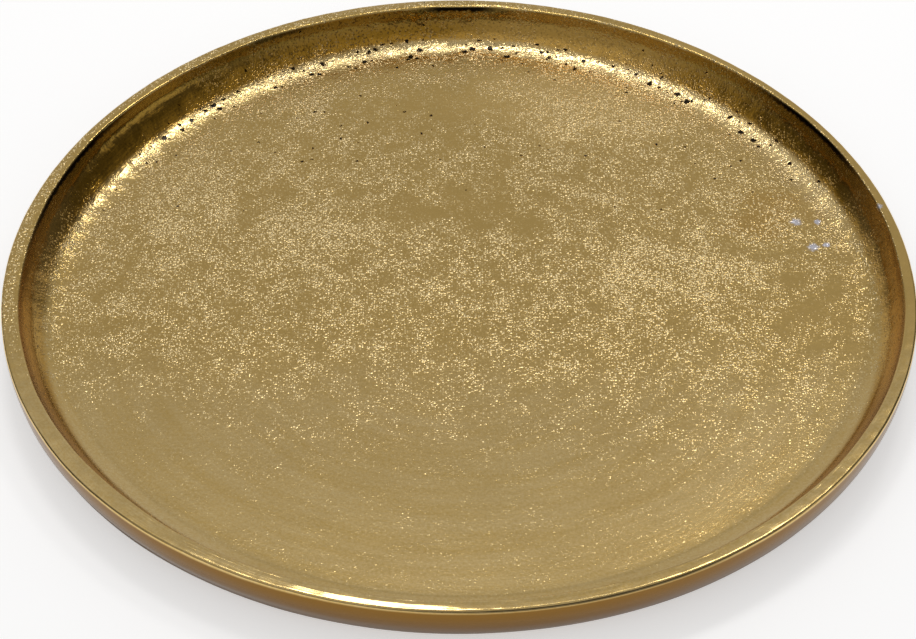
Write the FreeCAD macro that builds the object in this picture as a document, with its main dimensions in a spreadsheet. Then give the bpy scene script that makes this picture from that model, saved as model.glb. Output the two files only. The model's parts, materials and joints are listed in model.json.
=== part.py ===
import FreeCAD, Part
import math
import os
import Sketcher

# Candle plate: a shallow round dish, sand cast in one piece, that stands on self-adhesive felt pads.
# Its outline is the hand-made pattern's own: not quite round but three-lobed, and the hollow lies
# a little off centre in it, because the core had shifted in the mould, so the rim's width varies.
# Millimetres and degrees. +Z is up, +X right and +Y back. The origin is on the table, under the middle.

doc = FreeCAD.newDocument("candle_plate")

driving_sizes = [
    ("plate_radius", 140, "half the width across, the same in every direction"),
    ("outline_throw", 6.7, "the outline's three arc centres, from the middle"),
    ("casting_height", 15, "underside to the top of the rim"),
    ("rim_land", 2, "upright lip at the top of the outer wall"),
    ("wall_bow_radius", 22, "outer wall, drawn in towards the foot"),
    ("foot_radius", 5, "where the outer wall turns under"),
    ("shoulder_radius", 1.2, "outer edge of the rim's flat top"),
    ("rim_width", 4.3, "flat top of the rim, on average"),
    ("edge_break", 0.5, "inner edge of the rim's flat top, broken with a file"),
    ("floor_thickness", 2.8, "floor of the hollow to the underside"),
    ("hollow_throw", 3.5, "the hollow's three arc centres, from its middle"),
    ("hollow_draft", 12, "lean of the inner wall, in degrees"),
    ("crease_radius", 11, "where the floor turns up into the inner wall"),
    ("core_shift_right", 0.8, "the hollow's middle to the right of the outline's"),
    ("core_shift_back", 0.4, "the hollow's middle behind the outline's"),
    ("pad_count", 4, "felt pads"),
    ("pad_first_angle", 45, "direction of the first pad, in degrees from +X"),
    ("pad_circle_radius", 108, "middle of the plate to the middle of a pad"),
    ("pad_radius", 10, "felt disc"),
    ("pad_thickness", 1.5, "felt disc"),
    ("adhesive_thickness", 0.2, "adhesive disc between the felt and the casting"),
    ("adhesive_inset", 0.4, "how far the adhesive stays inside the felt's edge"),
]
sizes = doc.addObject("Spreadsheet::Sheet", "sizes")
for row, (alias, value, note) in enumerate(driving_sizes, start=1):
    sizes.set(f"A{row}", alias)
    sizes.set(f"B{row}", str(value))
    sizes.set(f"C{row}", note)
    sizes.setAlias(f"B{row}", alias)
doc.recompute()

up = FreeCAD.Vector(0, 0, 1)

# The outline is a round of constant width: three narrow arcs at the lobes and, across from them,
# three wide ones. A narrow and a wide arc share each centre, and the centres are an equal triangle.
lobe_angles = [90, 210, 330]  # the first lobe points back
half_arc_angle = 30           # an arc reaches this far to each side of its own direction

# Sums of the driving sizes that more than one feature follows
arc_radius_change = "({throw}) * cos(30)"  # wide arcs exceed the mean radius by this, narrow ones fall short
outline_centring = "sizes.outline_throw * (1 - cos(30))"  # the back lobe's lead over the other two
back_reach = f"sizes.plate_radius + {outline_centring}"
hollow_depth = "(sizes.casting_height - sizes.floor_thickness)"
wall_lean = f"{hollow_depth} * tan(sizes.hollow_draft)"
rim_band = f"(sizes.rim_width + {wall_lean} + sizes.crease_radius)"  # rim to the crease's inner edge
pad_stack = "(sizes.pad_thickness + sizes.adhesive_thickness)"


def new_body(name):
    body = doc.addObject("PartDesign::Body", name)
    body.Label = name
    return body


def new_sketch(body, name, role):
    plane = next(item for item in body.Origin.OriginFeatures if item.Role == role)
    sketch = body.newObject("Sketcher::SketchObject", name)
    sketch.AttachmentSupport = [(plane, "")]
    sketch.MapMode = "FlatFace"
    return sketch


def bind(sketch, name, kind, targets, expression):
    # A dimension at its present value, tied to the sheet
    value = float(sketch.evalExpression(expression))
    index = sketch.addConstraint(Sketcher.Constraint(kind, *targets, value))
    sketch.renameConstraint(index, name)
    sketch.setExpression(f"Constraints.{name}", expression)


def draw_circle(sketch, radius):
    value = float(sketch.evalExpression(radius))
    circle = sketch.addGeometry(Part.Circle(FreeCAD.Vector(0, 0, 0), up, value))
    sketch.addConstraint(Sketcher.Constraint("Coincident", circle, 3, -1, 1))
    bind(sketch, "radius", "Radius", (circle,), radius)


def draw_outline(sketch, mean_radius, throw, right="0", back="0"):
    # The three-lobed round, from expressions on the sheet. The triangle's sides, drawn on as
    # construction lines, hold the ends of all six arcs.
    across = [f"{right} + {throw} * cos({angle})" for angle in lobe_angles]
    along = [f"{back} + {throw} * sin({angle})" for angle in lobe_angles]
    centres = [FreeCAD.Vector(float(sketch.evalExpression(x)), float(sketch.evalExpression(y)), 0)
               for x, y in zip(across, along)]
    sides = [sketch.addGeometry(Part.LineSegment(centres[k - 3], centres[k - 2]), True) for k in range(3)]
    for k in range(3):
        sketch.addConstraint(Sketcher.Constraint("Coincident", sides[k - 1], 2, sides[k], 1))
        bind(sketch, f"centre_{k}_across", "DistanceX", (-1, 1, sides[k], 1), across[k])
        bind(sketch, f"centre_{k}_along", "DistanceY", (-1, 1, sides[k], 1), along[k])

    change = arc_radius_change.format(throw=throw)
    for k, angle in enumerate(lobe_angles):
        arcs = [("narrow", angle, f"{mean_radius} - {change}"),
                ("wide", angle + 180, f"{mean_radius} + {change}")]
        for width, middle, radius in arcs:
            circle = Part.Circle(centres[k], up, float(sketch.evalExpression(radius)))
            first = math.radians(middle - half_arc_angle)
            last = math.radians(middle + half_arc_angle)
            arc = sketch.addGeometry(Part.ArcOfCircle(circle, first, last))
            sketch.addConstraint(Sketcher.Constraint("Coincident", arc, 3, sides[k], 1))
            sketch.addConstraint(Sketcher.Constraint("PointOnObject", arc, 1, sides[k]))
            sketch.addConstraint(Sketcher.Constraint("PointOnObject", arc, 2, sides[k - 1]))
            bind(sketch, f"{width}_{k}", "Radius", (arc,), radius)


def draw_rim_section(sketch):
    # Upright lip, bowed outer wall, foot and flat base, from the back lobe in to the floor's crease
    outer = float(sketch.evalExpression(back_reach))
    inner = outer - float(sketch.evalExpression(rim_band))
    top = float(sizes.casting_height)
    bow = float(sizes.wall_bow_radius)
    turn = float(sizes.foot_radius)
    bow_middle = FreeCAD.Vector(outer - bow, top - float(sizes.rim_land), 0)
    drop = bow_middle.y - turn
    foot_middle = FreeCAD.Vector(bow_middle.x + math.sqrt((bow - turn) ** 2 - drop ** 2), turn, 0)
    join = -math.asin(drop / (bow - turn))  # where the bow hands over to the foot
    foot = FreeCAD.Vector(foot_middle.x, 0, 0)
    lip_foot = FreeCAD.Vector(outer, bow_middle.y, 0)
    lip_top = FreeCAD.Vector(outer, top, 0)
    band_top = FreeCAD.Vector(inner, top, 0)
    band_foot = FreeCAD.Vector(inner, 0, 0)

    base = sketch.addGeometry(Part.LineSegment(band_foot, foot))
    foot_arc = sketch.addGeometry(Part.ArcOfCircle(Part.Circle(foot_middle, up, turn), -math.pi / 2, join))
    wall = sketch.addGeometry(Part.ArcOfCircle(Part.Circle(bow_middle, up, bow), join, 0))
    lip = sketch.addGeometry(Part.LineSegment(lip_foot, lip_top))
    rim_top = sketch.addGeometry(Part.LineSegment(lip_top, band_top))
    band = sketch.addGeometry(Part.LineSegment(band_top, band_foot))
    sketch.addConstraint([
        Sketcher.Constraint("Tangent", base, 2, foot_arc, 1),
        Sketcher.Constraint("Tangent", foot_arc, 2, wall, 1),
        Sketcher.Constraint("Tangent", wall, 2, lip, 1),
        Sketcher.Constraint("Coincident", lip, 2, rim_top, 1),
        Sketcher.Constraint("Coincident", rim_top, 2, band, 1),
        Sketcher.Constraint("Coincident", band, 2, base, 1),
        Sketcher.Constraint("PointOnObject", base, 1, -1),
        Sketcher.Constraint("Horizontal", base),
        Sketcher.Constraint("Vertical", lip),
        Sketcher.Constraint("Horizontal", rim_top),
        Sketcher.Constraint("Vertical", band),
    ])
    bind(sketch, "reach", "DistanceX", (-1, 1, lip, 2), back_reach)
    bind(sketch, "band", "DistanceX", (base, 1, rim_top, 1), rim_band)
    bind(sketch, "height", "DistanceY", (base, 1, rim_top, 2), "sizes.casting_height")
    bind(sketch, "land", "DistanceY", (lip, 1, lip, 2), "sizes.rim_land")
    bind(sketch, "bow", "Radius", (wall,), "sizes.wall_bow_radius")
    bind(sketch, "foot", "Radius", (foot_arc,), "sizes.foot_radius")


def add_feature(body, kind, name, profile):
    feature = body.newObject(f"PartDesign::{kind}", name)
    feature.Profile = profile
    body.Tip = feature
    return feature


def dress_edges(body, kind, name, expression, height, least, most):
    # A fillet or chamfer on every edge at one height whose ends stand between two distances
    # from the axis
    dressed = body.Tip
    near = float(sizes.edge_break) / 2
    edges = []
    for number, edge in enumerate(dressed.Shape.Edges, start=1):
        ends = [vertex.Point for vertex in edge.Vertexes]
        if all(abs(end.z - height) < near and least < math.hypot(end.x, end.y) < most for end in ends):
            edges.append(f"Edge{number}")
    feature = body.newObject(f"PartDesign::{kind}", name)
    feature.Base = (dressed, edges)
    feature.setExpression("Radius" if kind == "Fillet" else "Size", expression)
    body.Tip = feature
    doc.recompute()


def make_casting():
    casting = new_body("plate_casting")

    # The rim's section swept round the outline, and the middle of the blank inside it, which
    # reaches halfway under the ring
    outline = new_sketch(casting, "rim_outline", "XY_Plane")
    draw_outline(outline, "sizes.plate_radius", "sizes.outline_throw")
    section = new_sketch(casting, "rim_section", "YZ_Plane")
    draw_rim_section(section)
    ring = add_feature(casting, "AdditivePipe", "rim_ring", section)
    ring.Spine = outline
    middle = new_sketch(casting, "middle_outline", "XY_Plane")
    draw_outline(middle, f"sizes.plate_radius - {rim_band} / 2", "sizes.outline_throw")
    blank = add_feature(casting, "Pad", "blank_middle", middle)
    blank.setExpression("Length", "sizes.casting_height")
    doc.recompute()

    # The hollow leans outwards to the top, so that the pattern draws from the sand
    mouth = new_sketch(casting, "hollow_mouth", "XY_Plane")
    mouth.setExpression(".AttachmentOffset.Base.z", "sizes.casting_height")
    draw_outline(mouth, "sizes.plate_radius - sizes.rim_width", "sizes.hollow_throw",
                 "sizes.core_shift_right", "sizes.core_shift_back")
    hollow = add_feature(casting, "Pocket", "hollow", mouth)
    hollow.Type = "Length"
    hollow.setExpression("Length", hollow_depth)
    hollow.setExpression("TaperAngle", "-sizes.hollow_draft")
    doc.recompute()

    top = float(sizes.casting_height)
    floor = float(sizes.floor_thickness)
    rim_middle = float(sizes.plate_radius - sizes.rim_width / 2)
    beyond = float(sizes.plate_radius + sizes.rim_width)
    dress_edges(casting, "Fillet", "floor_crease", "sizes.crease_radius", floor, 0, rim_middle)
    dress_edges(casting, "Chamfer", "filed_inner_edge", "sizes.edge_break", top, 0, rim_middle)
    dress_edges(casting, "Fillet", "rim_shoulder", "sizes.shoulder_radius", top, rim_middle, beyond)

    casting.setExpression("Placement.Base.y", f"-{outline_centring}")
    casting.setExpression("Placement.Base.z", pad_stack)
    return casting


def seat_disc(disc, index, height):
    # Stands a disc on its place in the ring of pads
    angle = f"(sizes.pad_first_angle + {index} * 360 / sizes.pad_count)"
    disc.setExpression("Placement.Base.x", f"sizes.pad_circle_radius * cos({angle})")
    disc.setExpression("Placement.Base.y", f"sizes.pad_circle_radius * sin({angle})")
    disc.setExpression("Placement.Base.z", height)


def make_felt_pad(index):
    felt = new_body(f"felt_pad_{index + 1}")
    face = new_sketch(felt, f"felt_face_{index + 1}", "XY_Plane")
    draw_circle(face, "sizes.pad_radius")
    disc = add_feature(felt, "Pad", f"felt_disc_{index + 1}", face)
    disc.setExpression("Length", "sizes.pad_thickness")
    seat_disc(felt, index, "0")
    return felt


def make_adhesive_disc(index):
    adhesive = new_body(f"adhesive_disc_{index + 1}")
    face = new_sketch(adhesive, f"adhesive_face_{index + 1}", "XY_Plane")
    draw_circle(face, "sizes.pad_radius - sizes.adhesive_inset")
    disc = add_feature(adhesive, "Pad", f"adhesive_film_{index + 1}", face)
    disc.setExpression("Length", "sizes.adhesive_thickness")
    seat_disc(adhesive, index, "sizes.pad_thickness")
    return adhesive


pieces = [make_casting()]
for index in range(int(sizes.pad_count)):
    pieces.append(make_felt_pad(index))
    pieces.append(make_adhesive_disc(index))
doc.recompute()

# Nothing is written unless every object is sound
for item in doc.Objects:
    if "Invalid" in item.State or "Error" in item.State:
        raise RuntimeError(f"{item.Label} failed: {item.State}")
for piece in pieces:
    if piece.Shape.isNull() or not piece.Shape.isValid() or len(piece.Shape.Solids) != 1:
        raise RuntimeError(f"{piece.Label} is not one valid solid")

os.makedirs("parts", exist_ok=True)
for piece in pieces:
    piece.Shape.exportStep(f"parts/{piece.Label}.step")
    box = piece.Shape.optimalBoundingBox()
    print(f"{piece.Label}: {box.XLength:.2f} x {box.YLength:.2f} x {box.ZLength:.2f} mm, "
          f"{piece.Shape.Volume / 1000:.2f} cm3")
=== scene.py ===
import json
import math
from functools import partial

import bmesh
import bpy
from mathutils import Matrix, Vector, noise


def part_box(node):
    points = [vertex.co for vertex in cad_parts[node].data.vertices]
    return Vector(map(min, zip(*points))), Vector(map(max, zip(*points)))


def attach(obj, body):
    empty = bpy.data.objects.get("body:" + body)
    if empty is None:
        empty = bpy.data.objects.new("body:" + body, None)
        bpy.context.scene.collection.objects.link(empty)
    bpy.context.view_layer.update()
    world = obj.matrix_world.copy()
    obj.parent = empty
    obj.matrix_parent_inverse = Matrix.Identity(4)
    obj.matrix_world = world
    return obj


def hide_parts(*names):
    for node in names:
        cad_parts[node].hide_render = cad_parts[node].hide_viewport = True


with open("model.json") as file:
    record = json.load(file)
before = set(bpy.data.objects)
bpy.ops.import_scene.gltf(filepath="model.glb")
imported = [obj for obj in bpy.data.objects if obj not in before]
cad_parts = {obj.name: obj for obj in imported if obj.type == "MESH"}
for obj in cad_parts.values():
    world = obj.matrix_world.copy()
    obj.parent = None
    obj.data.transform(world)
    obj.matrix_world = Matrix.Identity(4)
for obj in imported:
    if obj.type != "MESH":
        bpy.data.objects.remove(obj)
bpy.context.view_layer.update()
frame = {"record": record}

mm = 0.001
quarter = math.pi / 2
weld = 0.002 * mm                   # nearer than this is the same place

# The frame gives every outer size: the casting's box, the felt pads' places and the floor
# that a candle stands on.
castingLow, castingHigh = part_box("plate_casting")
plateRadius = castingHigh.x
candleFloor = next(mount for mount in frame["record"]["mounts"] if mount["name"] == "candle_floor")
floorTop = candleFloor["pos_m"][2]
print(f"frame: a casting {2 * plateRadius / mm:.0f} mm wide, with its floor {floorTop / mm:.1f} mm up")

# Settings that many nodes share
soft = {"interpolation_type": "SMOOTHSTEP"}
times = {"operation": "MULTIPLY"}
timesPlus = {"operation": "MULTIPLY_ADD"}


def linear(hexColour):
    # sRGB hex to the linear colour that a shader takes
    shares = [int(hexColour[k:k + 2], 16) / 255 for k in (1, 3, 5)]
    return [s / 12.92 if s <= 0.04045 else ((s + 0.055) / 1.055) ** 2.4 for s in shares] + [1]


def smooth(low, high, value):
    # 0 below low, 1 above high, and an S between them
    t = min(1, max(0, (value - low) / (high - low)))
    return t * t * (3 - 2 * t)


def addNode(tree, kind, inputs=(), output=0, **settings):
    # A node with its settings. Inputs are values or other nodes' sockets, in order or by name.
    node = tree.nodes.new("ShaderNode" + kind)
    for name, value in settings.items():
        setattr(node, name, value)
    for socket, value in (inputs if isinstance(inputs, dict) else dict(enumerate(inputs))).items():
        if isinstance(value, bpy.types.NodeSocket):
            tree.links.new(value, node.inputs[socket])
        else:
            node.inputs[socket].default_value = value
    return node.outputs[output] if len(node.outputs) else node


def newMaterial(name):
    material = bpy.data.materials.new(name)
    material.use_nodes = True
    material.node_tree.nodes.clear()
    return material, partial(addNode, material.node_tree)


def placeInMm(add):
    # The place on the piece, which sits at the origin, in millimetres
    return add("VectorMath", {0: add("TexCoord", output="Object"), "Scale": 1 / mm}, operation="SCALE")


def addPiece(name, bm, material, slot, *replaced):
    # A finished mesh as an object at the origin that rides on the plate's one body
    bmesh.ops.remove_doubles(bm, verts=bm.verts, dist=weld)
    bmesh.ops.recalc_face_normals(bm, faces=bm.faces)
    mesh = bpy.data.meshes.new(name)
    bm.to_mesh(mesh)
    bm.free()
    mesh.shade_smooth()
    mesh.materials.append(material)
    piece = bpy.data.objects.new(name, mesh)
    bpy.context.scene.collection.objects.link(piece)
    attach(piece, "root")
    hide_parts(*replaced)
    print(f"{name}: {len(mesh.polygons)} faces")


# Casting: the profile from the middle of the floor out over the rim and back under the plate
casting = {
    "wedges": 8,
    "wedgeSteps": 90,
    "pieces": {                     # along each part of the profile
        "crease": 18, "wall": 4, "innerEdge": 4, "rim": 8, "shoulder": 6, "lip": 1, "bow": 9, "foot": 8,
        "underside": 14,
    },
    "floorRing": 2.2 * mm,          # space between the floor's edge rings
    "creaseRadius": 12.5 * mm,      # where the floor turns up into the wall
    "wallDraft": math.radians(12),
    "mouthRadius": 135.6 * mm,
    "innerEdge": 0.6 * mm,          # filed round
    "shoulder": 0.8 * mm,           # outer edge of the rim's flat top
    "lip": 0.6 * mm,
    "bowRadius": 22 * mm,
    "footRadius": 5 * mm,
    "underside": castingLow.z,
    "outlineLobes": 0.9 * mm,       # the outline is three-lobed by hand, the hollow less so
    "outlineShift": Vector((0, -0.9, 0)) * mm,
    "hollowLobes": 0.47 * mm,
    "coreShift": Vector((0.8, -0.5, 0)) * mm,
    "spare": 0.04 * mm,             # room inside the CAD box, at the side and above
    "rimSpare": 0.28 * mm,
    "rimCrown": 0.02 * mm,          # the rim's flat top is filed a little domed
    "rimTilt": 0.1 * mm,            # and is higher outside
    # Changes round the plate: degrees clockwise from the back, degrees wide, how far in mm
    "creaseChanges": [(-50, 27, 4.4), (-4, 16, -1.6), (34, 16, 1.6), (95, 30, -1)],   # wider or tighter
    "flares": [(-61, 15, 0.55), (-30, 3, 0.5), (-5, 4, 0.6), (4, 4, 0.6), (24, 12, 0.2), (59, 11, 0.6)],
    "flareDepth": 3.2 * mm,         # the file has opened the inner wall's top from here up
    "filed": [(-171, 11, 0.19), (-128, 8, 0.12), (-5, 16, 0.16)],    # down, on the rim's outer part
    "filedFrom": 0.45,              # share of the rim's width, from inside
    "creaseFade": 0.6,              # radians up the crease where its change starts to fade
    "floorPull": 12,                # how closely a wider crease pulls only the floor's outer rings
    # Unevenness left by moulding and filing: how far a point moves, and how long a swell is
    "swells": {
        "floor": (0.02 * mm, 9 * mm),
        "crease": (0.12 * mm, 5 * mm),
        "wall": (0.09 * mm, 11 * mm),
        "wallLean": (0.35 * mm, 38 * mm),
        "rim": (0.06 * mm, 16 * mm),
        "edge": (0.05 * mm, 4 * mm),
        "outer": (0.12 * mm, 24 * mm),
    },
    # Where each unevenness begins and is full
    "floorEnds": (floorTop + 0.2 * mm, floorTop + 2 * mm),       # heights
    "wallBegins": (floorTop + 5 * mm, floorTop + 8 * mm),
    "outerAbove": castingLow.z + 1 * mm,
    "creaseBegins": (112 * mm, 124 * mm),                        # from the middle
    "creaseBehind": (-60 * mm, 30 * mm),                         # towards the back
}


def addRun(bm, last, radius, height, pieces):
    # A straight run of the profile, cut into equal pieces
    start = last.co.copy()
    end = Vector((radius, 0, height))
    for k in range(1, pieces + 1):
        last = bmesh.ops.extrude_vert_indiv(bm, verts=[last])["verts"][0]
        last.co = start.lerp(end, k / pieces)
    return last


def addArc(bm, last, centreRadius, centreHeight, angle, pieces):
    # A round of the profile: a positive angle turns from outwards to upwards
    turned = bmesh.ops.spin(bm, geom=[last], cent=(centreRadius, 0, centreHeight), axis=(0, -1, 0),
                            angle=angle, steps=pieces)
    return next(item for item in turned["geom_last"] if isinstance(item, bmesh.types.BMVert))


def castingProfile(bm, c):
    # Returns the layer that says how far a vertex follows the outline instead of the hollow
    top = castingHigh.z - c["rimSpare"]
    outer = plateRadius - c["spare"]
    draft = c["wallDraft"]
    pieces = c["pieces"]
    outside = bm.verts.layers.float.new("outside")

    edge = c["innerEdge"]
    edgeFoot = top - edge * (1 - math.sin(draft))
    wallTop = c["mouthRadius"] - (top - edgeFoot) * math.tan(draft)
    crease = c["creaseRadius"]
    creaseStart = wallTop - (edgeFoot - floorTop - crease) * math.tan(draft) - crease / math.cos(draft)

    last = bm.verts.new((0, 0, floorTop))
    last = addRun(bm, last, creaseStart, floorTop, round(creaseStart / c["floorRing"]))
    last = addArc(bm, last, creaseStart, floorTop + crease, quarter - draft, pieces["crease"])
    last = addRun(bm, last, wallTop, edgeFoot, pieces["wall"])
    last = addArc(bm, last, wallTop + edge * math.cos(draft), edgeFoot - edge * math.sin(draft),
                  draft - quarter, pieces["innerEdge"])
    rimStart = last.co.x
    inner = len(bm.verts)
    last = addRun(bm, last, outer - c["shoulder"], top, pieces["rim"])
    rimEnd = last.co.x
    last = addArc(bm, last, rimEnd, top - c["shoulder"], -quarter, pieces["shoulder"])
    last = addRun(bm, last, outer, last.co.z - c["lip"], pieces["lip"])
    bowMiddle = Vector((outer - c["bowRadius"], 0, last.co.z))
    drop = bowMiddle.z - c["underside"] - c["footRadius"]
    reach = c["bowRadius"] - c["footRadius"]
    bow = math.asin(drop / reach)
    last = addArc(bm, last, bowMiddle.x, bowMiddle.z, -bow, pieces["bow"])
    footMiddle = bowMiddle + Vector((reach * math.cos(bow), 0, -drop))
    last = addArc(bm, last, footMiddle.x, footMiddle.z, bow - quarter, pieces["foot"])
    addRun(bm, last, 0, c["underside"], pieces["underside"])

    bm.verts.ensure_lookup_table()
    for k, vert in enumerate(bm.verts):
        onRim = rimStart < vert.co.x < rimEnd and vert.co.z > floorTop
        vert[outside] = 0 if k < inner else (vert.co.x - rimStart) / (rimEnd - rimStart) if onRim else 1
    return outside


def swell(place, size, seed):
    # A smooth rise and fall as long as size; the noise is stretched to reach from -1 to 1
    return max(-1, min(1, 1.6 * noise.noise(place / size + Vector((seed, -seed, 2 * seed)))))


def changeAt(degrees, changes):
    # Smooth changes round the plate, added up at one direction, in millimetres
    return sum(far * math.exp(-((degrees - at) / wide) ** 2) for at, wide, far in changes)


def handCast(bm, outside, c):
    # The pattern's three lobes and the shifted core, then the unevenness of moulding and filing.
    # Each swell has a seed of its own, and where 1 is taken from it a point only moves inwards.
    s = c["swells"]
    top = castingHigh.z - c["rimSpare"]
    draft = c["wallDraft"]
    creaseStart = min(v.co.xy.length for v in bm.verts if v.co.z > floorTop + weld)
    for vert in bm.verts:
        share = vert[outside]
        radius = vert.co.xy.length
        if radius < weld:
            continue
        reach = radius / plateRadius
        out = Vector((vert.co.x, vert.co.y, 0)) / radius
        fromBack = math.atan2(vert.co.x, vert.co.y)
        degrees = math.degrees(fromBack)
        lobe = c["outlineLobes"] * share + c["hollowLobes"] * (1 - share)
        vert.co += out * lobe * math.cos(3 * fromBack) * reach
        vert.co += (c["outlineShift"] * share + c["coreShift"] * (1 - share)) * reach

        place = vert.co.copy()
        height = place.z
        if share == 0:
            onFloor = 1 - smooth(*c["floorEnds"], height)
            onWall = smooth(*c["wallBegins"], height)
            onCrease = (1 - onWall) * smooth(*c["creaseBegins"], radius)
            vert.co.z += s["floor"][0] * onFloor * swell(place, s["floor"][1], 1)
            change = changeAt(degrees, c["creaseChanges"])
            turned = math.acos(max(-1, min(1, 1 - (height - floorTop) / c["creaseRadius"])))
            turned = min(quarter - draft, turned)
            pull = radius < creaseStart and (radius / creaseStart) ** c["floorPull"]
            spread = pull or 1 - smooth(c["creaseFade"], quarter - draft, turned)
            wider = math.tan(draft) - 1 / math.cos(draft) + math.sin(turned)
            vert.co += out * change * mm * spread * wider
            vert.co.z += change * mm * spread * (1 - math.cos(turned))
            into = out * -1 + Vector((0, 0, 1))
            behind = smooth(*c["creaseBehind"], place.y)
            vert.co += into * s["crease"][0] * onCrease * behind * swell(place, s["crease"][1], 2)
            vert.co += out * s["wall"][0] * onWall * swell(place, s["wall"][1], 3)
        elif height > top - c["shoulder"] - c["lip"]:
            rise = s["rim"][0] * swell(place, s["rim"][1], 5)
            rise += s["edge"][0] * swell(place, s["edge"][1], 6)
            vert.co.z += rise + c["rimCrown"] * math.sin(math.pi * share) + c["rimTilt"] * share
            vert.co += out * s["edge"][0] * 0.5 * (swell(place, s["edge"][1], 7) - 1) * share
            filed = changeAt(degrees, c["filed"])
            vert.co.z -= filed * mm * smooth(c["filedFrom"], 1, share)
        if share == 1 and height > c["outerAbove"]:
            vert.co += out * s["outer"][0] * 0.5 * (swell(place, s["outer"][1], 8) - 1)
        if share < 1:
            lean = smooth(c["wallBegins"][0], top, height) * swell(out * plateRadius, s["wallLean"][1], 4)
            vert.co += out * s["wallLean"][0] * lean * (1 - share)
        opened = (height - top + c["flareDepth"]) / c["flareDepth"]
        if share < 1 and opened > 0:
            flare = changeAt(degrees, c["flares"])
            vert.co += out * flare * mm * min(1, opened) ** 2 * (1 - share)


def makeCasting(c, material):
    bm = bmesh.new()
    outside = castingProfile(bm, c)
    wedge = 2 * math.pi / c["wedges"]
    axis = {"cent": (0, 0, 0), "axis": (0, 0, 1)}
    bmesh.ops.spin(bm, geom=bm.verts[:] + bm.edges[:], angle=wedge, steps=c["wedgeSteps"], **axis)
    bmesh.ops.spin(bm, geom=bm.verts[:] + bm.edges[:] + bm.faces[:], angle=2 * math.pi - wedge,
                   steps=c["wedges"] - 1, use_duplicate=True, **axis)
    bmesh.ops.remove_doubles(bm, verts=bm.verts, dist=weld)
    handCast(bm, outside, c)
    addPiece("cast_plate", bm, material, "gold_casting", "plate_casting")


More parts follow.
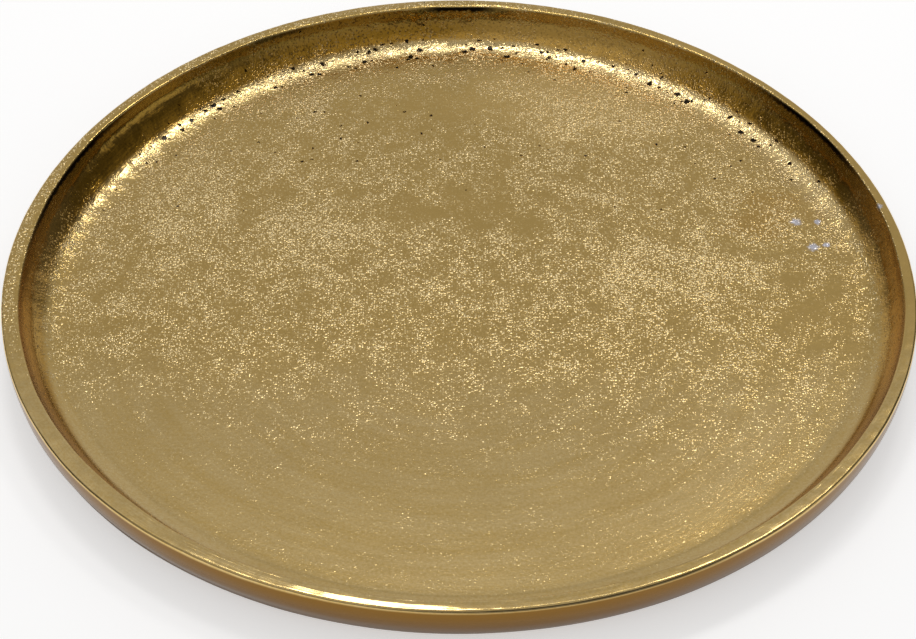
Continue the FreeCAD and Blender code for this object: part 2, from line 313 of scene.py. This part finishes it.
# Finish of the casting. Sizes are millimetres. Places are millimetres right of and behind the
# plate's middle, and an oval is its place and how far it reaches to the side and back.
finish = {
    "gold": "#D7B46A",
    "duskyGold": "#C5A45F",         # drifts over the gold
    "rubbedAndSheen": "#FAE4B2",            # grain tops, where the lacquer is rubbed thin, and the painted cream of glints, highlights and sheen
    "pale": "#EFC97C",              # a paler gold, in a patch at the back right
    "patinaAndShade": "#8E6F38",            # left in the hollows between the grains, and painted shade there
    "outerShade": "#93681F",              # painted shade on the outside, for its dark reflection of the shaded floor
    "oliveShade": "#B38112",             # painted shade low on the inner wall
    "oliveTopShade": "#B2923A",          # and high on it, painted shade too
    "litWallGold": "#EDBB5E",         # painted light on the inner wall, where it reflects more
    "ochre": "#C9902C",             # heat-stained lacquer
    "shadeBrown": "#5A3F1C",              # painted shade low on the outside, and dark flecks inside
    "shadeDark": "#1E160B",              # painted shade in the pores, and painted dark reflections under the rim and on the front shoulder
    "bare": "#E6E2E8",              # chips down to the aluminium
    "domes": [(0.8, 0.07), (0.55, 0.05)],   # wide and high, from coarse moulding sand
    "domesOnCrease": 0.8,           # share by which they are higher there
    "lumpSize": 1.6,
    "lumpHeight": 0.06,
    "fineSize": 0.5,
    "fineHeight": 0.04,
    "hairSize": 0.5,                # between brush marks, coarser than real to show
    "hairHeight": 0.012,
    "hairTurns": 5,                 # how much a mark changes on its way round the plate
    "strokeSize": 4,                # broad brush strokes in the colour
    "strokeTurns": 2.5,
    "poreSpacing": 3,
    "poreRadius": 0.85,
    "poreDepth": 0.5,
    "poreRagged": 1.6,              # how far an edge wanders
    "chipRagged": 1.2,
    "darkReflectionRagged": 2.4,
    "raggedSize": 1.2,              # and over what length
    "brushedFrom": 4,               # the grain fades from here towards the front
    "brushedTo": -92,
    "driftReach": 17,               # how far the edges of the grain's patches wander
    "driftSize": 15,                # and over what length
    "patchSize": 9,
    "toneSize": 22,
    "hazeSize": 0.9,
    "fleckSize": 0.8,
    # How rough the grain is, from 0 to 1, and what each place adds to it
    "patchGrain": (0.3, 0.94),
    "brushedGrain": 0.2,
    "rougher": 0.3,
    "roughOvals": [(-45, 30, 26, 16), (-52, 96, 16, 12), (-92, 45, 18, 34), (66, 14, 26, 20),
                   (52, 96, 42, 22)],
    "smoother": -0.32,
    "smoothOvals": [(-8, 92, 30, 15), (4, 43, 34, 11), (112, -5, 18, 34), (-88, -58, 26, 13)],
    "creaseAdds": -0.05,
    "wallAdds": -0.2,
    "polished": (-104, 68, 32, 32),         # crease rubbed smooth
    "polishedAdds": -0.5,
    "rimGrain": (-10, 110, 0.65, 0.03),     # from left to right
    # Places of the colours, and how much of a colour shows there at most
    "paleOval": (48, 98, 52, 26),
    "palest": 0.7,
    "stain": (100, 40, 14, 12),
    "stained": 0.25,
    # where the inner wall is painted lighter as painted light, and how much
    "litWallPatch": (42, 128, 46, 30),
    "mostLit": 0.45,
    "fleckedWall": (-38, 126, 42, 30),
    # painted dark reflections under the rim's inner edge: oval and how dark
    "darkReflections": [(-127, 45, 40, 40, 1), (-62, 120, 13, 13, 0.7), (0, 135, 16, 16, 1),
                (115, 70, 30, 30, 1)],
    # painted dark reflection along the front's outer shoulder, and how dark
    "shoulderShadeOval": (38, -132, 60, 26),
    "darkestShoulder": 0.8,
    "creaseHighlight": 0.35,               # painted highlight on the crease behind, lighter and cream
    # how much of the outside is painted darker as painted shade
    "outerShadeShare": 0.95,
    "lowOuterRoughens": 0.3,
    "chips": [(108, 36.6, 1.9), (114.8, 36.6, 1.3), (112.4, 24.4, 2), (116.9, 25.4, 1.3),
              (132.4, 30.4, 1.5)],  # place and reach
    "roughness": (0.16, 0.52),      # between the grains, and on their tops
    "coat": (0.12, 0.04),           # clear lacquer on the plate, and on its inner wall
    "coatRoughness": 0.12,
    # Distances from the middle where a zone begins and is full, with its first and last value if
    # these aren't 0 and 1
    "hollow": (136.4, 135.9),
    "rimOutwards": (136.2, 136.7),
    "crease": (118, 127),
    "foot": (128, 134),
    "aside": (122, 135),            # inner wall at the far left and right, painted lighter
    "poresOut": (120, 124, 0.35, 2),
    "undersideTop": (132, 135, 4.15, 6.2),  # the values are heights
    "undersideBlend": 0.15,
    # Places from front to back, or right to left, in the same way
    "rimBehind": (-60, -10),
    "castBehind": (-30, 30),        # the crease keeps its cast skin there
    "poresBehind": (30, 80, 0, 0.42),
    "hazeFront": (-10, -60),
    "creaseHighlightBehind": (10, 60),
    "brushedLeft": (-20, -70),
    # Heights above the table, in the same way
    "wall": (6.5, 10),
    "poresUp": (5.8, 7.2, 1, 0.1),
    "face": (5.5, 7),
    "faceTop": (16, 15.5),
    "belowRim": (15.9, 14.9),
    "oliveFades": (9, 12.5),
    "oliveTopFrom": (11, 13),
    "shadedLowUpTo": (12, 4),
    "creaseHighlightUpTo": (7, 5.4),
    "shoulderTop": (16.4, 16.25),
    "shoulderFoot": (15.55, 15.75),
    "darkReflectionFrom": (15.4, 16.4),
    "darkReflectionUpTo": (16.25, 15.95),
    "chipsBelow": (15.6, 15.2),
}


def oval(add, place, x, y, reachX, reachY):
    # 1 in the middle of an oval, fading to 0 at its edge
    near = add("VectorMath", (place, (x, y, 0)), operation="SUBTRACT")
    scaled = add("VectorMath", (near, (1 / reachX, 1 / reachY, 0)), **times)
    far = add("VectorMath", [scaled], "Value", operation="LENGTH")
    return add("MapRange", (far, 1.2, 0.4), **soft)


def ringed(add, circle, size, turns):
    # Coordinates in which a noise runs round the plate. The circle is the distance from its middle
    # and the direction's two shares.
    scales = (1 / size, turns, turns)
    return add("CombineXYZ", [add("Math", (part, scale), **times) for part, scale in zip(circle, scales)])


def goldLacqueredCastAluminium(f):
    # Sand-cast aluminium under a gold metallic lacquer: the sand leaves a grain of soft humps about
    # a millimetre across that glint, and a wire brush has smoothed it in places.
    material, add = newMaterial("goldLacqueredCastAluminium")
    inMm = placeInMm(add)
    x, y, z = [add("SeparateXYZ", [inMm], axis) for axis in "XYZ"]
    flat = add("CombineXYZ", (x, y))
    radius = add("VectorMath", [flat], "Value", operation="LENGTH")

    # Where the surface is
    level = add("MapRange", (radius, *f["undersideTop"]))
    above = add("Math", (z, level), operation="SUBTRACT")
    underside = add("MapRange", (above, f["undersideBlend"], -f["undersideBlend"]))
    topside = add("MapRange", (underside, 0, 1, 1, 0))
    inner = add("MapRange", (radius, *f["hollow"]), **soft)
    inner = add("Math", (inner, topside), **times)
    wall = add("Math", (inner, add("MapRange", (z, *f["wall"]), **soft)), **times)
    turning = add("MapRange", (radius, *f["crease"]), **soft)
    crease = add("Math", (inner, turning), **times)
    beyond = add("MapRange", (radius, *f["rimOutwards"]), **soft)
    foot = add("Math", (add("MapRange", (radius, *f["foot"]), **soft), underside), **times)
    beyond = add("Math", (beyond, foot), operation="MAXIMUM")
    outer = add("Math", (add("MapRange", (z, *f["belowRim"]), **soft), beyond), **times)
    face = add("Math", (inner, add("MapRange", (z, *f["face"]), **soft)), **times)
    face = add("Math", (face, add("MapRange", (z, *f["faceTop"]))), **times)

    # How rough the grain is: patchy, and fading where the brush has been. A noise seldom leaves 0.3 to
    # 0.7, so its MapRange stretches that.
    drift = add("TexNoise", {0: flat, "Scale": 1 / f["driftSize"], "Detail": 3}, "Color")
    reach = f["driftReach"]
    pushed = add("VectorMath", (drift, (2 * reach, 2 * reach, 0), (-reach, -reach, 0)), **timesPlus)
    warped = add("VectorMath", (flat, pushed), operation="ADD")
    warpedY = add("SeparateXYZ", [warped], "Y")
    fade = add("MapRange", (warpedY, f["brushedTo"], f["brushedFrom"], f["brushedGrain"], 1), **soft)
    patch = add("TexNoise", {0: flat, "Scale": 1 / f["patchSize"], "Detail": 2.5})
    strength = add("MapRange", (patch, 0.3, 0.7, *f["patchGrain"]))
    for change, ovals in ((f["rougher"], f["roughOvals"]), (f["smoother"], f["smoothOvals"])):
        for each in ovals:
            strength = add("Math", (oval(add, warped, *each), change, strength), **timesPlus)
    strength = add("Math", (strength, fade), **times)
    strength = add("Math", (crease, f["creaseAdds"], strength), **timesPlus)
    polished = add("Math", (oval(add, flat, *f["polished"]), turning), **times)
    strength = add("Math", (polished, f["polishedAdds"], strength), **timesPlus)
    onRim = add("MapRange", (x, *f["rimGrain"]), **soft)
    onRim = add("Math", (onRim, add("MapRange", (y, *f["rimBehind"]), **soft)), **times)
    strength = add("Mix", {0: beyond, 2: strength, 3: onRim})
    strength = add("Math", (wall, f["wallAdds"], strength), use_clamp=True, **timesPlus)

    # Grain: domes about as wide as the sand, more of them where it is rough, each one caught by
    # the light on its near side
    calm = add("MapRange", (strength, 0, 0.5, 0.16, 1))
    fine = add("TexNoise", {0: inMm, "Scale": 1 / f["fineSize"], "Detail": 1.5})
    # Patina between the grains, darkened further as painted shade
    hollow = add("Math", (add("MapRange", (fine, 0.5, 0.36, 0, 0.5)), strength), **times)
    height = add("Math", (add("Math", (fine, calm), **times), f["fineHeight"]), **times)
    lumps = add("TexNoise", {0: inMm, "Scale": 1 / f["lumpSize"], "Detail": 1})
    cast = add("Math", (crease, add("MapRange", (y, *f["castBehind"], 0, 1.2), **soft)), **times)
    lumps = add("Math", (lumps, add("Math", (calm, cast), operation="ADD")), **times)
    height = add("Math", (lumps, f["lumpHeight"], height), **timesPlus)
    tops = 0
    for size, rise in f["domes"]:
        far = add("TexVoronoi", {0: inMm, "Scale": 1 / size}, "Distance")
        chance = add("SeparateColor", [far.node.outputs["Color"]], "Red")
        grown = add("MapRange", (add("Math", (strength, chance), operation="SUBTRACT"), -0.05, 0.55))
        dome = add("Math", (add("MapRange", (far, 0.62, 0.05), **soft), grown), **times)
        rise = add("Math", (cast, f["domesOnCrease"] * rise, rise), **timesPlus)
        height = add("Math", (dome, rise, height), **timesPlus)
        tops = add("Math", (dome, tops), operation="MAXIMUM")

    # Brush marks run round the plate
    angle = add("Math", (y, x), operation="ARCTAN2")
    circle = [radius, add("Math", [angle], operation="COSINE"), add("Math", [angle], operation="SINE")]
    marks = ringed(add, circle, f["hairSize"], f["hairTurns"])
    hair = add("TexNoise", {0: marks, "Scale": 1, "Detail": 2, "Roughness": 0.6})
    brushed = add("Math", (turning, add("MapRange", (x, *f["brushedLeft"]), **soft)), **times)
    brushed = add("MapRange", (brushed, 0, 1, f["hairHeight"], 4 * f["hairHeight"]))
    height = add("Math", (hair, brushed, height), **timesPlus)

    # Pores along the crease and behind, each in its own cell, some small and some large, sunk in the bump
    # and painted dark as painted shade
    ragged = add("TexNoise", {0: inMm, "Scale": 1 / f["raggedSize"], "Detail": 2}, "Color")
    cells = add("VectorMath", (ragged, (f["poreRagged"],) * 3, inMm), **timesPlus)
    far = add("TexVoronoi", {0: cells, "Scale": 1 / f["poreSpacing"]}, "Distance")
    chance = add("SeparateColor", [far.node.outputs["Color"]], "Red")
    spread = add("MapRange", (y, *f["poresBehind"]), **soft)
    outwards = add("MapRange", (radius, *f["poresOut"]))
    upwards = add("MapRange", (z, *f["poresUp"]))
    for limit in (outwards, upwards, topside):
        spread = add("Math", (spread, limit), **times)
    here = add("Math", (chance, spread), operation="LESS_THAN")
    size = add("Math", (chance, 30), operation="FRACT")
    mean = f["poreRadius"] / f["poreSpacing"]
    wide = add("MapRange", (size, 0, 1, 0.5 * mean, 1.5 * mean))
    inside = add("Math", (wide, far), operation="SUBTRACT")
    pore = add("Math", (add("MapRange", (inside, -0.02, 0.06), **soft), here), **times)
    height = add("Math", (pore, -f["poreDepth"], height), **timesPlus)

    # Colours of the lacquer: drifting gold, a haze of fine scratches in front that is also painted sheen
    # lifting the front, a paler patch and stained patches
    tone = add("TexNoise", {0: inMm, "Scale": 1 / f["toneSize"], "Detail": 3})
    tone = add("MapRange", (tone, 0.35, 0.7, 0, 0.3))
    haze = add("TexNoise", {0: inMm, "Scale": 1 / f["hazeSize"], "Detail": 3})
    haze = add("MapRange", (haze, 0.35, 0.65, 0.1, 0.3))
    marks = ringed(add, circle, f["strokeSize"], f["strokeTurns"])
    strokes = add("TexNoise", {0: marks, "Scale": 1, "Detail": 4})
    strokes = add("MapRange", (strokes, 0.35, 0.65, -0.08, 0.08))
    haze = add("Math", (haze, strokes), operation="ADD", use_clamp=True)
    haze = add("Math", (haze, add("MapRange", (warpedY, *f["hazeFront"]), **soft)), **times)
    pale = add("Math", (oval(add, warped, *f["paleOval"]), f["palest"]), **times)
    stain = add("Math", (oval(add, warped, *f["stain"]), f["stained"]), **times)

    # Painted shade and light on the walls: olive tints darken the inner wall and lighter gold brightens
    # it, standing for its reflections
    aside = add("MapRange", (add("Math", [x], operation="ABSOLUTE"), *f["aside"], 0, 0.9), **soft)
    # Painted light: the inner wall lighter in an oval behind and at the far sides
    light = add("Math", (oval(add, flat, *f["litWallPatch"]), f["mostLit"]), **times)
    light = add("Math", (light, aside), operation="MAXIMUM")
    # Painted shade: olive low and high on the inner wall, less where it is painted lighter
    low = add("MapRange", (z, *f["oliveFades"], 0.85, 0.6), **soft)
    low = add("Math", (low, add("MapRange", (light, 0, 1, 1, 0.1))), **times)
    low = add("Math", (face, low), **times)
    high = add("Math", (add("MapRange", (z, *f["oliveTopFrom"], 0, 0.6)), face), **times)
    light = add("Math", (light, face), **times)
    # Painted shade: the outside darkened where it reflects the shaded floor
    outerShade = add("Math", (outer, f["outerShadeShare"]), **times)

    # Wear, with painted shade, painted highlights and painted dark reflections
    # Dark flecks on the inner wall, heavier at the back left, where they also darken it as painted shade
    fleck = add("TexNoise", {0: inMm, "Scale": 1 / f["fleckSize"], "Detail": 2})
    fleck = add("MapRange", (fleck, 0.5, 0.68, 0, 0.5), **soft)
    flecked = add("MapRange", (oval(add, flat, *f["fleckedWall"]), 0, 1, 0.7, 1.6))
    flecked = add("Math", (flecked, face), **times)
    fleck = add("Math", (fleck, flecked), use_clamp=True, **times)
    # Grain tops lightened where rubbed thin, which also paints their glints cream; and a painted
    # highlight on the crease behind
    sides = add("Math", (outer, face), operation="MAXIMUM")
    wornAndGlint = add("Math", (tops, add("MapRange", (sides, 0, 1, 1.2, 0.4))), **times)
    turn = add("Math", (crease, add("MapRange", (z, *f["creaseHighlightUpTo"]), **soft)), **times)
    turn = add("Math", (turn, add("MapRange", (y, *f["creaseHighlightBehind"]), **soft)), **times)
    wornAndGlint = add("Math", (turn, f["creaseHighlight"], wornAndGlint), use_clamp=True, **timesPlus)
    # Painted dark reflections just under the rim's inner edge, where the wall reflects dark
    under = add("Math", (ragged, f["darkReflectionRagged"], z), **timesPlus)
    under = add("MapRange", (under, *f["darkReflectionFrom"]), **soft)
    under = add("Math", (under, add("MapRange", (z, *f["darkReflectionUpTo"]))), **times)
    under = add("Math", (under, inner), **times)
    streaks = []
    for *each, depth in f["darkReflections"]:
        streak = add("Math", (oval(add, flat, *each), depth), **times)
        streaks.append(add("Math", (streak, under), **times))
    # The outside painted darker towards the bottom, as painted shade
    shadedLow = add("Math", (outer, add("MapRange", (z, *f["shadedLowUpTo"], 0.3, 0.9))), **times)
    # A painted dark reflection along the front's outer shoulder
    shoulderTop = add("MapRange", (z, *f["shoulderTop"]))
    shoulder = add("Math", (shoulderTop, add("MapRange", (z, *f["shoulderFoot"]))), **times)
    shoulder = add("Math", (shoulder, beyond), **times)
    shoulderShade = add("Math", (oval(add, flat, *f["shoulderShadeOval"]), f["darkestShoulder"]), **times)
    shoulderShade = add("Math", (shoulderShade, shoulder), **times)

    # Chips, kept off the inner wall and the underside
    reach = f["chipRagged"]
    ragged = add("VectorMath", (ragged, (2 * reach, 2 * reach, 0), (-reach, -reach, 0)), **timesPlus)
    ragged = add("VectorMath", (flat, ragged), operation="ADD")
    clear = add("Math", (wall, add("MapRange", (z, *f["chipsBelow"]))), **times)
    clear = add("Math", (add("MapRange", (clear, 0, 1, 1, 0)), topside), **times)
    chips = []
    for chipX, chipY, reach in f["chips"]:
        chips.append(add("Math", (oval(add, ragged, chipX, chipY, reach, reach), clear), **times))

    # The colours lie over one another in this order
    layers = [(tone, "duskyGold"), (haze, "rubbedAndSheen"), (pale, "pale"), (stain, "ochre"), (hollow, "patinaAndShade"),
              (low, "oliveShade"), (high, "oliveTopShade"), (light, "litWallGold"), (outerShade, "outerShade"), (fleck, "shadeBrown"),
              (wornAndGlint, "rubbedAndSheen")]
    layers += [(streak, "shadeDark") for streak in streaks]
    layers += [(shadedLow, "shadeBrown"), (shoulderShade, "shadeDark"), (pore, "shadeDark")]
    layers += [(chip, "bare") for chip in chips]
    colour = linear(f["gold"])
    for share, name in layers:
        colour = add("Mix", {0: share, 6: colour, 7: linear(f[name])}, 2, data_type="RGBA")

    peaks = add("Math", (tops, 1.3), operation="POWER")
    rough = add("MapRange", (peaks, 0, 1, *f["roughness"]))
    rough = add("Math", (shadedLow, f["lowOuterRoughens"], rough), **timesPlus)
    coat = add("MapRange", (wall, 0, 1, *f["coat"]))
    bump = add("Bump", {"Height": height, "Distance": mm})
    shader = add("BsdfPrincipled", {"Base Color": colour, "Metallic": 1, "Roughness": rough,
                                    "Coat Weight": coat, "Coat Roughness": f["coatRoughness"],
                                    "Normal": bump})
    add("OutputMaterial", [shader])
    return material


# Felt pads under the casting, each held by a disc of adhesive film. The patterns' sizes are millimetres.
pads = {
    "count": 4,
    "segments": 96,
    "roundedEdge": 0.35 * mm,
    "edgeSegments": 3,
    "capRings": (0.3, 0.45, 0.6),
    "fuzz": (0.12 * mm, 1.1 * mm),  # how far the cut edge wanders, and over what length
    "feltDark": "#2A2521",
    "feltLight": "#5A5048",
    "fibreSize": 0.4,               # coarser than real to show
    "fibreHeight": 0.2,
    "film": "#D8CFB4",
    "filmPale": "#EDE7D6",
    "bubbleRim": "#BDB294",
    "bubblesPerMm": 0.9,
    "bubbleHeight": 0.02,
    "cloudSize": 2,
}


def pressedFelt(p):
    # Pressed wool felt, self-coloured grey-brown: matt, with short crossing fibres
    material, add = newMaterial("pressedFelt")
    fibres = add("TexNoise", {0: placeInMm(add), "Scale": 1 / p["fibreSize"], "Detail": 6,
                              "Roughness": 0.7, "Distortion": 1.5})
    colour = add("Mix", {0: fibres, 6: linear(p["feltDark"]), 7: linear(p["feltLight"])}, 2,
                 data_type="RGBA")
    bump = add("Bump", {"Height": fibres, "Distance": p["fibreHeight"] * mm})
    shader = add("BsdfPrincipled", {"Base Color": colour, "Roughness": 0.95, "Sheen Weight": 0.3,
                                    "Normal": bump})
    add("OutputMaterial", [shader])
    return material


def adhesiveFilm(p):
    # Clear acrylic adhesive on white release film: smooth, with the small bubbles of a hand-laid disc
    material, add = newMaterial("acrylicAdhesiveFilm")
    inMm = placeInMm(add)
    far = add("TexVoronoi", {0: inMm, "Scale": p["bubblesPerMm"]}, "Distance")
    bubble = add("MapRange", (far, 0.2, 0.1), **soft)
    cloud = add("TexNoise", {0: inMm, "Scale": 1 / p["cloudSize"], "Detail": 3})
    colour = linear(p["film"])
    for share, name in ((cloud, "filmPale"), (bubble, "bubbleRim")):
        colour = add("Mix", {0: share, 6: colour, 7: linear(p[name])}, 2, data_type="RGBA")
    bump = add("Bump", {"Height": bubble, "Distance": p["bubbleHeight"] * mm})
    shader = add("BsdfPrincipled", {"Base Color": colour, "Roughness": 0.35, "IOR": 1.48, "Normal": bump})
    add("OutputMaterial", [shader])
    return material


def makeDisc(name, material, slot, node, edge, fuzz):
    # A disc that fills its CAD node's box, with soft edges if it has any
    low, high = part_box(node)
    middle = (low + high) / 2
    radius = (high.x - low.x) / 2 - fuzz[0] / 2
    bm = bmesh.new()
    bmesh.ops.create_cone(bm, cap_ends=True, segments=pads["segments"], radius1=radius, radius2=radius,
                          depth=high.z - low.z, matrix=Matrix.Translation(middle))
    if edge:
        rings = [e for e in bm.edges if abs(e.verts[0].co.z - e.verts[1].co.z) < weld]
        bmesh.ops.bevel(bm, geom=rings, offset=edge, segments=pads["edgeSegments"], profile=0.5,
                        affect="EDGES", material=-1)
    caps = [f for f in bm.faces if len(f.verts) > 4]
    for step in pads["capRings"]:
        bmesh.ops.inset_individual(bm, faces=caps, thickness=step * radius * 0.5)
    if fuzz[0]:
        for vert in bm.verts:
            away = Vector((vert.co.x - middle.x, vert.co.y - middle.y, 0))
            vert.co += away.normalized() * fuzz[0] * 0.5 * swell(vert.co, fuzz[1], 9)
    addPiece(name, bm, material, slot, node)


makeCasting(casting, goldLacqueredCastAluminium(finish))
felt = pressedFelt(pads)
film = adhesiveFilm(pads)
for k in range(1, pads["count"] + 1):
    makeDisc(f"pad_{k}", felt, "pad_felt", f"felt_pad_{k}", pads["roundedEdge"], pads["fuzz"])
    makeDisc(f"film_{k}", film, "pad_adhesive", f"adhesive_disc_{k}", 0, (0, 1))

# Light: a plain room, brighter behind the plate, with two softboxes overhead, left and right.
# A zone of the room is between two shares of a direction, where it begins and where it is full.
studio = {
    "roomSide": 0.1,
    "back": ((-0.15, 0.74, 0.65), 0.62, 0.92),
    "roomBack": 0.5,
    "lowBack": (0.68, 0.82),
    "roomLowBack": 0.64,
    "front": ((-0.2, -0.93, 0.31), 0.2, 0.7),
    "roomFront": 0.42,
    "overhead": (0.62, 0.92),
    "ceiling": 0.3,                 # added overhead
    "card": ((0.95, -0.09, 0.3), 0.95, 0.99),
    "cardGlow": 0.5,                # a white card to the right
    "flags": 0.02,                  # black flags low in front and at both sides
    "flagsBeside": (0.74, 0.84),
    "flagsBesideFrom": (-0.3, -0.1),
    "flagsAhead": (0.42, 0.3),
    "flagsUpTo": (0.5, 0.35),       # towards the back
    "flagsBelow": (0.2, 0.06),
    "floorReach": 4,
    "floorColour": "#FBFAF9",
    "floorGlow": 0.5,               # lifts the paper to white for the camera, and in reflections
    "boxes": {   # direction to the box, its distance, width and depth, and how bright it looks
        "leftBox": ((-0.09, 0.385, 0.92), 1.2, (0.27, 0.2), 7.5),
        "rightBox": ((0.245, 0.48, 0.84), 1.2, (0.19, 0.17), 8),
    },
}


def addSoftbox(name, toward, distance, size, glow):
    light = bpy.data.lights.new(name, "AREA")
    light.shape = "RECTANGLE"
    light.size, light.size_y = size
    light.energy = glow * math.pi * size[0] * size[1]
    box = bpy.data.objects.new(name, light)
    direction = Vector(toward).normalized()
    box.location = direction * distance
    box.rotation_euler = (-direction).to_track_quat("-Z", "Y").to_euler()
    bpy.context.scene.collection.objects.link(box)


def addRoom(s):
    world = bpy.data.worlds.new("studioRoom")
    bpy.context.scene.world = world
    world.use_nodes = True
    world.node_tree.nodes.clear()
    add = partial(addNode, world.node_tree)
    direction = add("TexCoord", output="Generated")
    across, back, up = [add("SeparateXYZ", [direction], axis) for axis in "XYZ"]
    toward = {}
    for zone in ("back", "front", "card"):
        toward[zone] = add("VectorMath", (direction, s[zone][0]), "Value", operation="DOT_PRODUCT")

    side = s["roomSide"]
    level = add("MapRange", (toward["back"], *s["back"][1:], side, s["roomBack"]), **soft)
    behind = add("MapRange", (back, *s["lowBack"], side, s["roomLowBack"]), **soft)
    level = add("Math", (level, behind), operation="MAXIMUM")
    front = add("MapRange", (toward["front"], *s["front"][1:], 0, s["roomFront"] - side), **soft)
    above = add("MapRange", (up, *s["overhead"], 0, s["ceiling"]), **soft)
    card = add("MapRange", (toward["card"], *s["card"][1:], 0, s["cardGlow"]), **soft)
    for more in (front, above, card):
        level = add("Math", (level, more), operation="ADD")

    across = add("Math", [across], operation="ABSOLUTE")
    beside = add("MapRange", (across, *s["flagsBeside"]), **soft)
    beside = add("Math", (beside, add("MapRange", (back, *s["flagsBesideFrom"]), **soft)), **times)
    flag = add("Math", (beside, add("MapRange", (across, *s["flagsAhead"]), **soft)), operation="MAXIMUM")
    flag = add("Math", (flag, add("MapRange", (back, *s["flagsUpTo"]), **soft)), **times)
    flag = add("Math", (flag, add("MapRange", (up, *s["flagsBelow"]), **soft)), **times)
    level = add("Mix", {0: flag, 2: level, 3: s["flags"]})
    add("OutputWorld", [add("Background", {"Strength": level})])


def addFloor(s):
    bm = bmesh.new()
    bmesh.ops.create_grid(bm, x_segments=1, y_segments=1, size=s["floorReach"])
    mesh = bpy.data.meshes.new("floor")
    bm.to_mesh(mesh)
    bm.free()
    floor = bpy.data.objects.new("floor", mesh)
    bpy.context.scene.collection.objects.link(floor)
    material, add = newMaterial("paperSweep")
    seen = add("LightPath", output="Is Camera Ray")
    paths = seen.node
    for ray in ("Is Glossy Ray", "Is Transmission Ray"):
        seen = add("Math", (seen, paths.outputs[ray]), operation="MAXIMUM")
    glow = add("Emission", {"Strength": add("Math", (seen, s["floorGlow"]), **times)})
    paper = add("BsdfDiffuse", {"Color": linear(s["floorColour"])})
    add("OutputMaterial", [add("AddShader", (paper, glow))])
    mesh.materials.append(material)


addFloor(studio)
addRoom(studio)
for name, box in studio["boxes"].items():
    addSoftbox(name, *box)
print(f"studio: floor, room and {len(studio['boxes'])} softboxes")

# Camera: the photograph's view, found from the rim's outline
view = {
    "tilt": math.radians(42.78),    # down from level
    "roll": math.radians(0.21),
    "distance": 6,                  # in plate radii, from the point aimed at
    "aim": (-0.0023, -0.1537),      # in plate radii, from the outline's middle
    "aimHeight": 15.9 * mm,
    "outlineMiddle": -0.9 * mm,
    "lens": 109.1,
}


def addCamera(v):
    data = bpy.data.cameras.new("camera")
    data.lens = v["lens"]
    camera = bpy.data.objects.new("camera", data)
    aimX, aimY = v["aim"]
    aim = Vector((aimX * plateRadius, aimY * plateRadius + v["outlineMiddle"], v["aimHeight"]))
    back = Vector((0, -math.cos(v["tilt"]), math.sin(v["tilt"])))
    turn = Matrix.Rotation(quarter - v["tilt"], 4, "X") @ Matrix.Rotation(v["roll"], 4, "Z")
    camera.matrix_world = Matrix.Translation(aim + back * v["distance"] * plateRadius) @ turn
    bpy.context.scene.collection.objects.link(camera)
    bpy.context.scene.camera = camera
    print(f"camera: {v['distance'] * plateRadius:.2f} m away, lens {v['lens']} mm")


addCamera(view)
bpy.context.scene.view_settings.view_transform = "Standard"
